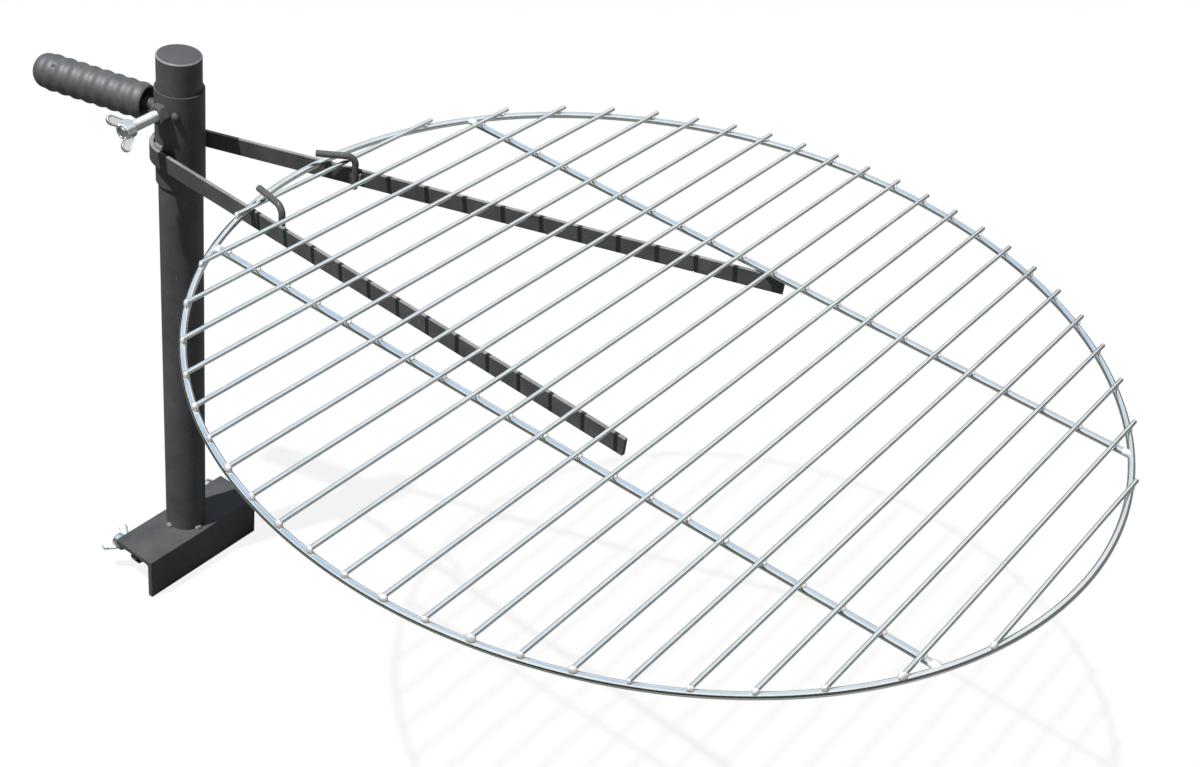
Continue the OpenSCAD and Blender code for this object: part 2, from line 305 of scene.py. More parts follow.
# Moulded rubber of the grip
rubberSettings = {
    "metallic": 0,
    "shine": 0.95,
    "dark": (0.054, 0.055, 0.058),
    "light": (0.090, 0.092, 0.096),
    "roughness": (0.50, 0.60),
    "cloud": (90, 5, 0.65),
    "grain": (1300, 3),
    "reliefDepth": 0.08 * mm,
}


def makeRubber(name, settings):
    material, tree, shader, place = startMaterial(name, settings)
    cloud = noiseOutput(tree, place, *settings["cloud"])
    grain = noiseOutput(tree, place, *settings["grain"])
    finishMaterial(tree, shader, settings, cloudyColor(tree, cloud, settings), cloud, grain)
    return material


blackPaint = makePaint("black powder coat", paintSettings)
sootPaint = makePaint("coat over the fire", sootSettings)
wornPaint = makePaint("worn coat", wornSettings)
# Paler coat on welds: a painted highlight
drippedHighlightPaint = makePaint("coat on welds with painted highlight", drippedHighlightSettings)
# Paler coat: partly rubbed edges, partly painted highlight
rubbedAndHighlightPaint = makePaint("rubbed edge and painted highlight", rubbedAndHighlightSettings)
drawnOut = 0.02  # the lines are this much coarser along straight wire than across it
rodZinc = makeZinc("zinc rods", wireSettings, (1, drawnOut, 1))
barZinc = makeZinc("zinc cross bars", wireSettings, (drawnOut, 1, 1))
ringZinc = makeZinc("zinc ring", wireSettings)
weldZinc = makeZinc("zinc weld", weldSettings)
screwZinc = makeZinc("zinc screw", screwSettings)
gripRubber = makeRubber("grip rubber", rubberSettings)
print("materials made")


# Mesh helpers
def paintMesh(mesh, *materials):
    mesh.materials.clear()
    for material in materials:
        mesh.materials.append(material)


def addPiece(name, mesh, *materials):
    piece = bpy.data.objects.new(name, mesh)
    bpy.context.scene.collection.objects.link(piece)
    if materials:
        paintMesh(mesh, *materials)
    return piece


# Turns a piece with modifiers into a plain mesh
def settle(piece):
    bpy.context.view_layer.update()
    evaluated = piece.evaluated_get(bpy.context.evaluated_depsgraph_get())
    mesh = bpy.data.meshes.new_from_object(evaluated)
    piece.modifiers.clear()
    piece.data = mesh
    return piece


def seat(piece, body, slotName, *nodeNames):
    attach(piece, body)
    if nodeNames:
        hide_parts(*nodeNames)


def meshFrom(name, vertices, edges=(), faces=()):
    mesh = bpy.data.meshes.new(name)
    mesh.from_pydata([tuple(v) for v in vertices], list(edges), list(faces))
    mesh.update()
    return mesh


def meshOf(name, bm):
    mesh = bpy.data.meshes.new(name)
    bm.to_mesh(mesh)
    bm.free()
    return mesh


# A CAD node's triangles joined into one surface
def mergedNode(nodeName):
    bm = bmesh.new()
    bm.from_mesh(nodes[nodeName].data)
    bmesh.ops.remove_doubles(bm, verts=bm.verts, dist=tiny)
    return bm


roundingSettings = {
    "flatAngle": 0.6,
    "sharpAngle": 28,
    "segments": 3,
    "profile": 0.5,  # a round one
}


# A CAD node with its sharp edges rounded, on a merged copy of its mesh
def roundedCopy(name, nodeName, width, material, edgeMaterial, settings):
    mesh = nodes[nodeName].data.copy()
    bm = mergedNode(nodeName)
    bmesh.ops.dissolve_limit(bm, angle_limit=math.radians(settings["flatAngle"]),
                             verts=bm.verts, edges=bm.edges)
    sharpAngle = math.radians(settings["sharpAngle"])
    sharp = [edge for edge in bm.edges
             if len(edge.link_faces) == 2 and edge.calc_face_angle(0) > sharpAngle]
    for face in bm.faces:
        face.material_index = 0
    bmesh.ops.bevel(bm, geom=sharp, offset=width, segments=settings["segments"],
                    profile=settings["profile"], affect="EDGES", clamp_overlap=True, material=1)
    bm.to_mesh(mesh)
    bm.free()
    mesh.shade_smooth()
    piece = addPiece(name, mesh, material, edgeMaterial)
    piece.modifiers.new("weighted", "WEIGHTED_NORMAL").keep_sharp = True
    return settle(piece)


# Points on a circle round the X axis, or one point where the radius is nothing
def ringRound(bm, along, radius, steps):
    if radius < tiny:
        return [bm.verts.new((along, 0, 0))]
    return [bm.verts.new((along, radius * math.cos(a), radius * math.sin(a)))
            for a in turnsRound(steps)]


# Faces between each ring of points and the next
def bridge(bm, rings):
    for first, second in zip(rings, rings[1:]):
        steps = max(len(first), len(second))
        for i in range(steps):
            j = (i + 1) % steps
            corners = dict.fromkeys((first[i % len(first)], first[j % len(first)],
                                     second[j % len(second)], second[i % len(second)]))
            if len(corners) > 2:
                bm.faces.new(list(corners))


turnedSharpAngle = 50  # steeper corners of a turned piece stay sharp


# Revolves an outline of (along, radius) round the X axis and puts it where the matrix says
def lathe(name, outline, steps, matrix, *materials):
    bm = bmesh.new()
    bridge(bm, [ringRound(bm, along, radius, steps) for along, radius in outline])
    bmesh.ops.remove_doubles(bm, verts=bm.verts, dist=tiny / 2)
    bmesh.ops.recalc_face_normals(bm, faces=bm.faces)
    mesh = meshOf(name, bm)
    mesh.transform(matrix)
    mesh.shade_smooth()
    mesh.set_sharp_from_angle(angle=math.radians(turnedSharpAngle))
    return addPiece(name, mesh, *materials)


# Geometry Nodes helpers
def startTree(name, sockets):
    tree = bpy.data.node_groups.new(name, "GeometryNodeTree")
    interface = tree.interface
    interface.new_socket(name="Geometry", in_out="INPUT", socket_type="NodeSocketGeometry")
    identifiers = {}
    for label, kind in sockets.items():
        socket = interface.new_socket(name=label, in_out="INPUT", socket_type="NodeSocket" + kind)
        identifiers[label] = socket.identifier
    interface.new_socket(name="Geometry", in_out="OUTPUT", socket_type="NodeSocketGeometry")
    inputs = tree.nodes.new("NodeGroupInput").outputs
    return tree, inputs, identifiers


def endTree(tree, geometry, material):
    real = nodeOutput(tree, "GeometryNodeRealizeInstances", {"Geometry": geometry})
    smooth = nodeOutput(tree, "GeometryNodeSetShadeSmooth", {"Geometry": real})
    painted = nodeOutput(tree, "GeometryNodeSetMaterial", {"Geometry": smooth, "Material": material})
    tree.links.new(painted, tree.nodes.new("NodeGroupOutput").inputs[0])


def growPiece(name, mesh, made, values):
    tree, identifiers = made
    piece = addPiece(name, mesh)
    modifier = piece.modifiers.new("grow", "NODES")
    modifier.node_group = tree
    for label, value in values.items():
        modifier[identifiers[label]] = value
    return settle(piece)


# Wire swept along edges, a little wavy, its ends narrowed as shears leave them
def wireTree(name, material):
    tree, inputs, identifiers = startTree(name, {
        "Radius": "Float", "End Share": "Float", "Sides": "Int", "Waviness": "Float",
        "Wave Scale": "Float", "Seed": "Float"})
    curve = nodeOutput(tree, "GeometryNodeMeshToCurve", {"Mesh": inputs["Geometry"]})
    place = nodeOutput(tree, "GeometryNodeInputPosition")
    noise = nodeOutput(tree, "ShaderNodeTexNoise", {
        "Vector": place, "W": inputs["Seed"], "Scale": inputs["Wave Scale"], "Detail": 1.0,
    }, "Color", noise_dimensions="4D")
    centred = vectorMath(tree, "SUBTRACT", noise, (0.5, 0.5, 0.5))
    shift = vectorMath(tree, "SCALE", centred, inputs["Waviness"])
    waved = nodeOutput(tree, "GeometryNodeSetPosition", {"Geometry": curve, "Offset": shift})
    even = nodeOutput(tree, "GeometryNodeSetCurveRadius", {"Curve": waved, "Radius": 1.0})
    ends = nodeOutput(tree, "GeometryNodeCurveEndpointSelection")
    narrowed = nodeOutput(tree, "GeometryNodeSetCurveRadius", {
        "Curve": even, "Selection": ends, "Radius": inputs["End Share"]})
    profile = nodeOutput(tree, "GeometryNodeCurvePrimitiveCircle", {
        "Resolution": inputs["Sides"], "Radius": inputs["Radius"]})
    swept = nodeOutput(tree, "GeometryNodeCurveToMesh", {
        "Curve": narrowed, "Profile Curve": profile, "Fill Caps": True,
        "Scale": nodeOutput(tree, "GeometryNodeInputRadius")})
    endTree(tree, swept, material)
    return tree, identifiers


# Drops of weld: a lumpy ball on each point, stretched by the point's own sizes
dropSettings = {"least": (0.85, 0.85, 0.85), "most": (1.15, 1.15, 1.15), "lumpDetail": 2.0}


def dropTree(name, material, settings=dropSettings):
    tree, inputs, identifiers = startTree(name, {
        "Lumps": "Float", "Lump Size": "Float", "Seed": "Int", "Detail": "Int"})
    ball = nodeOutput(tree, "GeometryNodeMeshIcoSphere", {
        "Radius": 1.0, "Subdivisions": inputs["Detail"]})
    size, turn = [nodeOutput(tree, "GeometryNodeInputNamedAttribute", {"Name": label},
                             data_type="FLOAT_VECTOR") for label in ("size", "turn")]
    vary = nodeOutput(tree, "FunctionNodeRandomValue", {
        "Min": settings["least"], "Max": settings["most"], "Seed": inputs["Seed"],
    }, data_type="FLOAT_VECTOR")
    scale = vectorMath(tree, "MULTIPLY", size, vary)
    points = nodeOutput(tree, "GeometryNodeInstanceOnPoints", {
        "Points": inputs["Geometry"], "Instance": ball, "Rotation": turn, "Scale": scale})
    real = nodeOutput(tree, "GeometryNodeRealizeInstances", {"Geometry": points})
    place = nodeOutput(tree, "GeometryNodeInputPosition")
    noise = noiseOutput(tree, place, inputs["Lump Size"], settings["lumpDetail"])
    height = mathNode(tree, "MULTIPLY", mathNode(tree, "SUBTRACT", noise, 0.5), inputs["Lumps"])
    shift = vectorMath(tree, "SCALE", nodeOutput(tree, "GeometryNodeInputNormal"), height)
    lumpy = nodeOutput(tree, "GeometryNodeSetPosition", {"Geometry": real, "Offset": shift})
    endTree(tree, lumpy, material)
    return tree, identifiers


# Screw thread: a fine tube whose radius follows the helix, pointed at both ends
threadSettings = {
    "pitch": 1.25 * mm,
    "depth": 0.62 * mm,
    "stepsInPitch": 9,
    "sides": 48,
    "flank": (0.12, 0.82),
    "pointLength": 1.0 * mm,
    "pointDepth": 1.3,  # of the thread's depth
}


def threadTree(name, material, settings):
    tree, inputs, identifiers = startTree(name, {
        "Radius": "Float", "Length": "Float", "Pitch": "Float", "Depth": "Float", "Steps": "Int"})
    tube = nodeOutput(tree, "GeometryNodeMeshCylinder", {
        "Vertices": settings["sides"], "Side Segments": inputs["Steps"],
        "Radius": inputs["Radius"], "Depth": inputs["Length"]})
    place = nodeOutput(tree, "GeometryNodeInputPosition")
    x, y, z = addNode(tree, "ShaderNodeSeparateXYZ", {0: place}).outputs
    turns = mathNode(tree, "DIVIDE", mathNode(tree, "ARCTAN2", y, x), 2 * math.pi)
    rise = mathNode(tree, "DIVIDE", z, inputs["Pitch"])
    phase = mathNode(tree, "FRACT", mathNode(tree, "SUBTRACT", rise, turns))
    away = mathNode(tree, "ABSOLUTE", mathNode(tree, "SUBTRACT", phase, 0.5))
    groove = spread(tree, mathNode(tree, "MULTIPLY", away, 2.0), 0, 1, *settings["flank"],
                    interpolation_type="SMOOTHSTEP")
    half = mathNode(tree, "MULTIPLY", inputs["Length"], 0.5)
    toEnd = mathNode(tree, "SUBTRACT", half, mathNode(tree, "ABSOLUTE", z))
    point = spread(tree, toEnd, 1, 0, 0, settings["pointLength"])
    pointDepth = mathNode(tree, "MULTIPLY", inputs["Depth"], settings["pointDepth"])
    cut = mathNode(tree, "MAXIMUM", mathNode(tree, "MULTIPLY", groove, inputs["Depth"]),
                   mathNode(tree, "MULTIPLY", point, pointDepth))
    share = mathNode(tree, "SUBTRACT", 1.0, mathNode(tree, "DIVIDE", cut, inputs["Radius"]))
    moved = nodeOutput(tree, "ShaderNodeCombineXYZ", {
        0: mathNode(tree, "MULTIPLY", x, share), 1: mathNode(tree, "MULTIPLY", y, share), 2: z})
    threaded = nodeOutput(tree, "GeometryNodeSetPosition", {"Geometry": tube, "Position": moved})
    endTree(tree, threaded, material)
    return tree, identifiers


rodWire = wireTree("rod wire", rodZinc)
barWire = wireTree("cross bar wire", barZinc)
ringWire = wireTree("ring wire", ringZinc)
zincDrops = dropTree("zinc drops", weldZinc)
# Drops in the paler weld coat, a painted highlight
highlightCoatDrops = dropTree("drops with painted highlight", drippedHighlightPaint)
blackDrops = dropTree("black drops", blackPaint)
screwThread = threadTree("screw thread", screwZinc, threadSettings)
print("node trees made")


# Makes the points of a drop tree: each is (place, sizes, turn)
def dropPoints(name, drops):
    mesh = meshFrom(name, [drop[0] for drop in drops])
    for label, column in (("size", 1), ("turn", 2)):
        attribute = mesh.attributes.new(label, "FLOAT_VECTOR", "POINT")
        for i, drop in enumerate(drops):
            attribute.data[i].vector = drop[column]
    return mesh


# Grate: ring, cross bars, rods and the welds where they cross
grateSettings = {
    "ringSteps": 288,
    "wireSteps": 40,
    "ringSides": 20,
    "rodSides": 16,
    "ringSpare": 0.12 * mm,
    "waviness": 0.5 * mm,
    "waveScale": 9.0,
    "endShare": 0.86,
    "endLength": 0.25 * mm,
    "ringDrop": (2.8 * mm, 2.2 * mm, 1.8 * mm),
    "endDrop": (2.9 * mm, 2.1 * mm, 2.8 * mm),
    "endDropShares": (1.0, 0.84, 0.93, 0.80, 0.88, 0.97, 0.80),  # from rod to rod, then over again
    "endDropIn": 0.1 * mm,
    "endDropUp": 0.7 * mm,
    "endTuck": 1.0 * mm,
    "barDrop": (2.9 * mm, 2.7 * mm, 1.5 * mm),
    "barEndDrop": (4.8 * mm, 3.2 * mm, 2.4 * mm),
    "barEndUp": 0.4 * mm,
    "lumps": {"Lumps": 0.9 * mm, "Lump Size": 330.0, "Seed": 4, "Detail": 3},
    "seed": 3.0,
}

ringMiddle = middleOf(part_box("grate_ring"))
ringWireR = halfWidth("grate_ring", 2)
ringR = halfWidth("grate_ring", 0) - ringWireR
crossBars = ("left_cross_bar", "right_cross_bar")
rodNames = sorted(name for name in nodes if name.startswith("rod_"))
wirePieces = []


# A straight line of points from start to end
def wireLine(start, end, settings):
    way = (end - start).normalized()
    length = (end - start).length
    steps = settings["wireSteps"]
    ends = [0, settings["endLength"], 2 * settings["endLength"]]  # the third keeps the cut's shading short
    inner = [length * i / steps for i in range(1, steps)]
    return [start + way * stop for stop in ends + inner + [length - stop for stop in ends[::-1]]]


def linesMesh(name, lines):
    vertices, edges = [], []
    for line in lines:
        first = len(vertices)
        vertices += line
        edges += [(first + i, first + i + 1) for i in range(len(line) - 1)]
    return meshFrom(name, vertices, edges)


def makeWire(name, mesh, made, settings, radius, endShare, sides, seedStep, *nodeNames):
    values = {"Radius": radius, "End Share": endShare, "Sides": sides,
              "Waviness": settings["waviness"], "Wave Scale": settings["waveScale"],
              "Seed": settings["seed"] + seedStep}
    wire = growPiece(name, mesh, made, values)
    seat(wire, "grate", "wire_zinc", *nodeNames)
    wirePieces.append(wire)


def makeRing(settings):
    steps = settings["ringSteps"]
    r = ringR - settings["ringSpare"]
    points = [ringMiddle + Vector((r * math.cos(a), r * math.sin(a), 0)) for a in turnsRound(steps)]
    mesh = meshFrom("ring line", points, [(i, (i + 1) % steps) for i in range(steps)])
    makeWire("grateRing", mesh, ringWire, settings, ringWireR, 1.0, settings["ringSides"], 0,
             "grate_ring")


def makeCrossBars(settings):
    for pieceName, nodeName in zip(("leftCrossBar", "rightCrossBar"), crossBars):
        low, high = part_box(nodeName)
        middle = (low + high) / 2
        line = wireLine(Vector((low.x, middle.y, middle.z)), Vector((high.x, middle.y, middle.z)),
                        settings)
        makeWire(pieceName, linesMesh(pieceName + " line", [line]), barWire, settings,
                 halfWidth(nodeName, 2), settings["endShare"], settings["ringSides"], 1, nodeName)


def makeRods(settings):
    lines = []
    for low, high in map(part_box, rodNames):
        middle = (low + high) / 2
        start = low.y + settings["endTuck"]  # the near end lies in its weld
        lines.append(wireLine(Vector((middle.x, start, middle.z)), Vector((middle.x, high.y, middle.z)),
                              settings))
    makeWire("grateRods", linesMesh("rod lines", lines), rodWire, settings,
             halfWidth(rodNames[0], 2), settings["endShare"], settings["rodSides"], 2, *rodNames)


def makeGrateWelds(settings):
    contact = ringMiddle.z + ringWireR
    drops = []
    barBoxes = [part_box(name) for name in crossBars]
    shares = settings["endDropShares"]
    for index, (low, high) in enumerate(map(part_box, rodNames)):
        x = (low.x + high.x) / 2
        reach = math.sqrt(max(ringR ** 2 - (x - ringMiddle.x) ** 2, 0))
        slope = math.atan2(x - ringMiddle.x, reach)
        place = Vector((x, ringMiddle.y + reach, contact))
        drops.append((place, settings["ringDrop"], (0, 0, -slope)))
        place = Vector((x, ringMiddle.y - reach + settings["endDropIn"], contact + settings["endDropUp"]))
        wide, long, tall = settings["endDrop"]
        share = shares[index % len(shares)]
        drops.append((place, (wide * share, long * share, tall), (0, 0, slope)))
        for barLow, barHigh in barBoxes:
            if barLow.x < x < barHigh.x:
                place = Vector((x, (barLow.y + barHigh.y) / 2, contact))
                drops.append((place, settings["barDrop"], (0, 0, 0)))
    for barLow, barHigh in barBoxes:
        y = (barLow.y + barHigh.y) / 2
        for x in (barLow.x + ringWireR, barHigh.x - ringWireR):
            place = Vector((x, y, ringMiddle.z + settings["barEndUp"]))
            drops.append((place, settings["barEndDrop"], (0, 0, 0)))
    welds = growPiece("grateWelds", dropPoints("weld points", drops), zincDrops, settings["lumps"])
    seat(welds, "grate", "wire_zinc")


makeRing(grateSettings)
makeCrossBars(grateSettings)
makeRods(grateSettings)
makeGrateWelds(grateSettings)
print("grate made")


# Black iron pieces with their edges rounded as mill and coat leave them; the rounded edges take the paler
# coat, partly rubbed and partly painted highlight
ironSettings = {
    "clampAngle": {"node": "clamp_angle", "body": "foot", "edge": 0.8 * mm, "paint": blackPaint},
    "sleeveTube": {"node": "sleeve", "body": "carriage", "edge": 0.7 * mm, "paint": blackPaint},
    "armBar": {"node": "arm_bar", "body": "carriage", "edge": 0.5 * mm, "paint": sootPaint},
    "leftHook": {"node": "left_hook", "body": "carriage", "edge": 0.5 * mm, "paint": wornPaint},
    "rightHook": {"node": "right_hook", "body": "carriage", "edge": 0.5 * mm, "paint": wornPaint},
    "lockNut": {"node": "lock_nut", "body": "carriage", "edge": 0.45 * mm, "paint": wornPaint},
    "rightClampNut": {"node": "right_clamp_nut", "body": "foot", "edge": 0.25 * mm, "paint": blackPaint},
    "leftClampNut": {"node": "left_clamp_nut", "body": "foot", "edge": 0.25 * mm, "paint": blackPaint},
    "handleRod": {"node": "handle_rod", "body": "carriage", "edge": 0.2 * mm, "paint": blackPaint},
}
faceUp = 0.9  # upright part of the normal, above which a face of the arms gets the paler coat as a painted highlight
for pieceName, settings in ironSettings.items():
    piece = roundedCopy(pieceName, settings["node"], settings["edge"], settings["paint"], rubbedAndHighlightPaint,
                        roundingSettings)
    # The arms' top faces get a painted highlight: the paler edge coat
    if pieceName == "armBar":
        for face in piece.data.polygons:
            if face.normal.z > faceUp:
                face.material_index = 1
    seat(piece, settings["body"], "black_paint", settings["node"])
print("iron pieces made")


# Post and its cap, whose rounded edge is painted paler: partly rubbed coat, partly painted highlight
capSettings = {
    "edge": 1.2 * mm,
    "edgeSteps": 8,
    "crown": 0.15 * mm,
    "crownIn": 2.5,  # this and the next two are shares of the edge
    "plugIn": 2.2 * mm,
    "rubbedHighlightIn": 0.85,
    "rubbedHighlightDown": 0.8,
    "steps": 96,
}


def makeCap(settings):
    low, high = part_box("post_cap")
    radius = halfWidth("post_cap", 0)
    lid = high.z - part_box("post_tube")[1].z
    edge = settings["edge"]
    plug = radius - settings["plugIn"]
    crown = high.z - settings["crown"]
    outline = [(low.z, 0), (low.z, plug), (high.z - lid, plug), (high.z - lid, radius)]
    for i in range(settings["edgeSteps"] + 1):
        a = math.radians(90 * i / settings["edgeSteps"])
        outline.append((high.z - edge + edge * math.sin(a), radius - edge + edge * math.cos(a)))
    outline += [(crown, radius - settings["crownIn"] * edge), (crown, 0)]
    stand = Matrix.Rotation(math.radians(-90), 4, "Y")
    cap = lathe("postCap", outline, settings["steps"], stand, blackPaint, rubbedAndHighlightPaint)
    # The outer upper rim takes the paler coat: rubbed coat and painted highlight
    for face in cap.data.polygons:
        outer = face.center.xy.length > radius - settings["rubbedHighlightIn"] * edge
        upper = face.center.z > high.z - settings["rubbedHighlightDown"] * edge
        face.material_index = 1 if outer and upper else 0
    seat(cap, "cap", "black_paint", "post_cap")


makeCap(capSettings)
paintMesh(nodes["post_tube"].data, blackPaint)
print("post made")


# Painted welds: short rows of drops, all but the lock's in the paler weld coat, a painted highlight
beadLumps = {"Lumps": 0.3 * mm, "Lump Size": 420.0, "Detail": 4}
postBeads = {
    "size": (2.3 * mm, 2.1 * mm, 2.2 * mm),
    "count": 2,
    "span": 6,
    "out": 0.7 * mm,
    "lift": 0.5 * mm,
    "seed": 7,
}
armBeads = {
    "size": (1.9 * mm, 1.9 * mm, 2.3 * mm),
    "count": 4,
    "span": 18,
    "out": 0.9 * mm,
    "lift": 0.5 * mm,
    "seed": 8,
}
hookBeads = {"size": (1.4 * mm, 1.4 * mm, 1.5 * mm), "count": 7, "seed": 9}
lockBeads = {"size": (3.1 * mm, 2.3 * mm, 3.2 * mm), "turn": -8, "seed": 10}
handleBeads = {"size": (1.3 * mm, 1.8 * mm, 1.5 * mm), "count": 9, "out": 0.4 * mm, "seed": 11}
postR = halfWidth("post_tube", 0)
sleeveR = halfWidth("sleeve", 0)


# The points of each separate solid in a node, in the same order on each run
def nodeIslands(nodeName):
    bm = mergedNode(nodeName)
    seen, islands = set(), []
    for start in bm.verts:
        if start in seen:
            continue
        seen.add(start)
        stack, found = [start], []
        while stack:
            vertex = stack.pop()
            found.append(vertex.co.copy())
            for edge in vertex.link_edges:
                other = edge.other_vert(vertex)
                if other not in seen:
                    seen.add(other)
                    stack.append(other)
        islands.append(found)
    bm.free()
    return islands


# Drops along an arc round the post, one arc for each CAD bead
def arcDrops(nodeName, tubeR, settings):
    radius = tubeR + settings["out"]
    drops = []
    for island in nodeIslands(nodeName):
        low = min(p.z for p in island)
        middle = middleOf(island)
        for i in range(settings["count"]):
            share = i / (settings["count"] - 1) - 0.5
            a = math.atan2(middle.y, middle.x) + math.radians(settings["span"]) * share
            place = Vector((radius * math.cos(a), radius * math.sin(a), low + settings["lift"]))
            drops.append((place, settings["size"], (0, 0, a)))
    return drops


def hookDrops(settings):
    drops = []
    for island in nodeIslands("hook_welds"):
        middle = middleOf(island)
        low, high = min(p.z for p in island), max(p.z for p in island)
        for i in range(settings["count"]):
            z = low + (high - low) * i / (settings["count"] - 1)
            drops.append((Vector((middle.x, middle.y, z)), settings["size"], (0, 0, 0)))
    return drops


def lockDrops(settings):
    return [(middleOf(island), settings["size"], (0, 0, math.radians(settings["turn"])))
            for island in nodeIslands("lock_welds")]


# A ring of drops where the handle rod meets the sleeve
def handleDrops(settings):
    low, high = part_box("handle_rod")
    middle = middleOf([v.co for v in nodes["handle_grip"].data.vertices])
    out = Vector((middle.x, middle.y, 0)).normalized()
    side = up.cross(out)
    around = halfWidth("handle_rod", 2) + settings["out"]
    drops = []
    for a in turnsRound(settings["count"]):
        across = around * math.cos(a)
        deep = math.sqrt(sleeveR ** 2 - across ** 2) + settings["out"]
        height = (low.z + high.z) / 2 + around * math.sin(a)
        place = out * deep + side * across + up * height
        drops.append((place, settings["size"], (0, 0, math.atan2(out.y, out.x))))
    return drops


def makeBeads(name, body, drops, settings, *nodeNames, made=highlightCoatDrops):
    values = {**beadLumps, "Seed": settings["seed"]}
    beads = growPiece(name, dropPoints(name + " points", drops), made, values)
    seat(beads, body, "black_paint", *nodeNames)


makeBeads("postWelds", "foot", arcDrops("post_welds", postR, postBeads), postBeads, "post_welds")
makeBeads("armWelds", "carriage", arcDrops("arm_welds", sleeveR, armBeads), armBeads, "arm_welds")
makeBeads("hookWelds", "carriage", hookDrops(hookBeads), hookBeads, "hook_welds")
makeBeads("lockWelds", "carriage", lockDrops(lockBeads), lockBeads, "lock_welds", made=blackDrops)
makeBeads("handleWelds", "carriage", handleDrops(handleBeads), handleBeads)
print("painted welds made")


# Frame along a screw: X from its tip to its end, Z up
def screwFrame(jointName, nodeName):
    axis = Vector(joints[jointName]["axis"]).normalized()
    spot = Vector(joints[jointName]["pos_m"])
    along = [(v.co - spot).dot(axis) for v in nodes[nodeName].data.vertices]
    side = up.cross(axis).normalized()
    return axesAt(spot + axis * min(along), axis, side, axis.cross(side)), max(along) - min(along)


# Wing screws: threaded shank, and a cast head with two lobed wings
wingSettings = {
    "boreSpare": -0.3 * mm,
    "hubTaper": 0.8 * mm,
    "hubEdge": 0.6 * mm,
    "hubSteps": 64,
    "faceDepth": 0.1 * mm,  # the hub's width is read this near its face
    "rootR": 3.2 * mm,
    "rootBack": 1.0 * mm,
    "rootOut": 1.4 * mm,
    "tipR": 3.6 * mm,
    "lobeSteps": 14,
    "thick": 2.7 * mm,
    "corner": 0.4 * mm,
    "recess": 0.55 * mm,
    "rim": 1.1 * mm,
    "rimShares": (0.5, 1.2, 1.5),  # of the rim, at its edge and at both ends of the step
    "leastShare": 0.05,
    "voxel": 0.26 * mm,
    "smoothing": 5,
}


def makeShank(name, jointName, nodeName, body, settings):
    place, length = screwFrame(jointName, nodeName)
    radius = halfWidth(nodeName, 2)
    steps = round(length / settings["pitch"] * settings["stepsInPitch"])
    values = {"Radius": radius, "Length": length, "Pitch": settings["pitch"],
              "Depth": settings["depth"], "Steps": steps}
    shank = growPiece(name, meshFrom(name + " seed", [(0, 0, 0)]), screwThread, values)
    lay = Matrix.Translation((length / 2, 0, 0)) @ Matrix.Rotation(math.radians(90), 4, "Y")
    shank.data.transform(place @ lay)
    seat(shank, body, "screw_zinc", nodeName)
    return place, length, radius


# Outline of two circles and their common tangents, from a to b
def lobeOutline(a, aR, b, bR, steps):
    way = Vector((b[0] - a[0], b[1] - a[1]))
    base = math.atan2(way.y, way.x)
    lean = math.acos((aR - bR) / way.length)
    points = []
    for i in range(steps + 1):
        t = base + lean - 2 * lean * i / steps
        points.append((b[0] + bR * math.cos(t), b[1] + bR * math.sin(t)))
    for i in range(steps + 1):
        t = base - lean - (2 * math.pi - 2 * lean) * i / steps
        points.append((a[0] + aR * math.cos(t), a[1] + aR * math.sin(t)))
    return points


# Closed plate on an outline in the XY plane, its faces dished by the recess
def plateShell(bm, outline, settings):
    half, rim = settings["thick"] / 2, settings["rim"]
    floor = half - settings["recess"]
    atRim, atStep, atFloor = settings["rimShares"]
    upper = [(half - settings["corner"], 0), (half, rim * atRim), (floor, rim * atStep),
             (floor, rim * atFloor)]
    middle = Vector((sum(x for x, y in outline), sum(y for x, y in outline))) / len(outline)
    layers = []
    for z, inward in [(-z, inward) for z, inward in upper[::-1]] + upper:
        ring = []
        for point in outline:
            way = Vector(point) - middle
            spot = middle + way * max(1 - inward / way.length, settings["leastShare"])
            ring.append(bm.verts.new((spot.x, spot.y, z)))
        layers.append(ring)
    bridge(bm, layers)
    bm.faces.new(layers[0])
    bm.faces.new(layers[-1])


def offAxis(point):
    return math.hypot(point.y, point.z)


def makeWing(name, nodeName, body, place, length, shankR, settings):
    inverse = place.inverted()
    local = [inverse @ v.co for v in nodes[nodeName].data.vertices]
    start = min(v.x for v in local)
    lean = max(v.x for v in local) - length
    far = max(local, key=offAxis)
    hubR = max(offAxis(v) for v in local if v.x < start + settings["faceDepth"])
    endR = hubR - settings["hubTaper"]
    bore = shankR + settings["boreSpare"]
    edge = settings["hubEdge"]
    bm = bmesh.new()
    hub = [ringRound(bm, along, radius, settings["hubSteps"]) for along, radius in (
        (start, bore), (start, hubR - edge), (start + edge, hubR), (length - edge, endR),
        (length, endR - edge), (length, bore))]
    bridge(bm, hub + hub[:1])
    rootR, tipR = settings["rootR"], settings["tipR"]
    root = (length - rootR - settings["rootBack"], hubR - rootR + settings["rootOut"])
    tip = (length + lean - tipR, offAxis(far) - tipR)
    outline = lobeOutline(root, rootR, tip, tipR, settings["lobeSteps"])
    for side in (1, -1):
        plateShell(bm, [(x, side * y) for x, y in outline], settings)
    bmesh.ops.recalc_face_normals(bm, faces=bm.faces)
    mesh = meshOf(name, bm)
    mesh.transform(Matrix.Rotation(math.atan2(far.z, far.y), 4, "X"))
    wing = addPiece(name, mesh, screwZinc)
    cast = wing.modifiers.new("cast", "REMESH")
    cast.mode = "VOXEL"
    cast.voxel_size = settings["voxel"]
    wing.modifiers.new("soften", "SMOOTH").iterations = settings["smoothing"]
    settle(wing)
    wing.data.transform(place)
    wing.data.shade_smooth()
    paintMesh(wing.data, screwZinc)
    seat(wing, body, "screw_zinc", nodeName)


for pieceName, key in (("lock", "lock"), ("rightClamp", "right_clamp"), ("leftClamp", "left_clamp")):
    place, length, radius = makeShank(pieceName + "Screw", key + "_turn", key + "_screw",
                                      key + "_shank", threadSettings)
    makeWing(pieceName + "Wing", key + "_wing", key + "_head", place, length, radius, wingSettings)
print("wing screws made")


